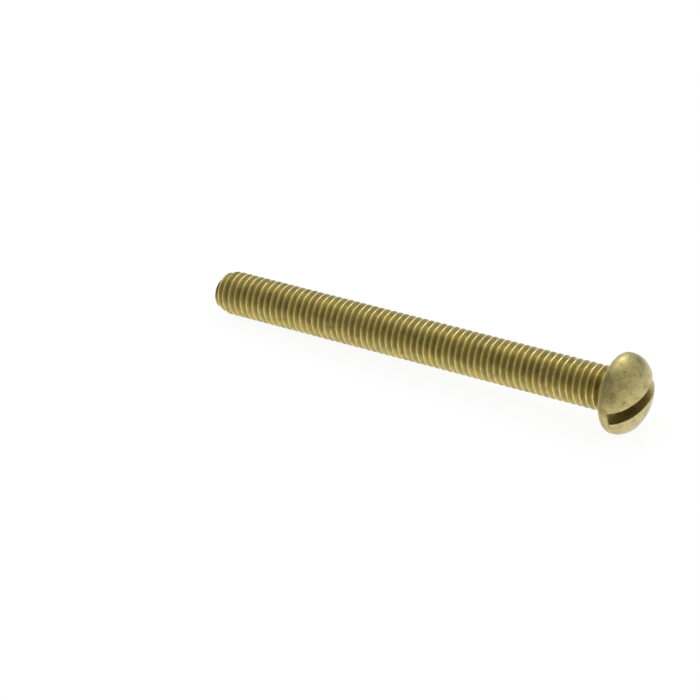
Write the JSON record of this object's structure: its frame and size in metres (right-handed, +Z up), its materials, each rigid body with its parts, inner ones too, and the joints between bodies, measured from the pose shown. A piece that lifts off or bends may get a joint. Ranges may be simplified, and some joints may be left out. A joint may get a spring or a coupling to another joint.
{
  "type": "round head machine screw",
  "caption": "Slotted round head machine screw in brass, with a long fully threaded shank and a tapered point, lying on its side.",
  "frame": {"origin": "centre of the head's bearing face, on the screw's axis", "axes": "+X towards the head, along the screw's length in plan, +Z up; the screw lies as on a table, so its axis rises towards the head by 2.23 degrees in the XZ plane, and the surface it lies on is at z = -4.275 mm"},
  "size_m": [0.0533, 0.0086, 0.0086],
  "materials": {
    "brass": "satin, lightly mottled, as turned and rolled, without plating"
  },
  "bodies": {
    "root": {"machine_screw": "brass"}
  },
  "joints": []
}
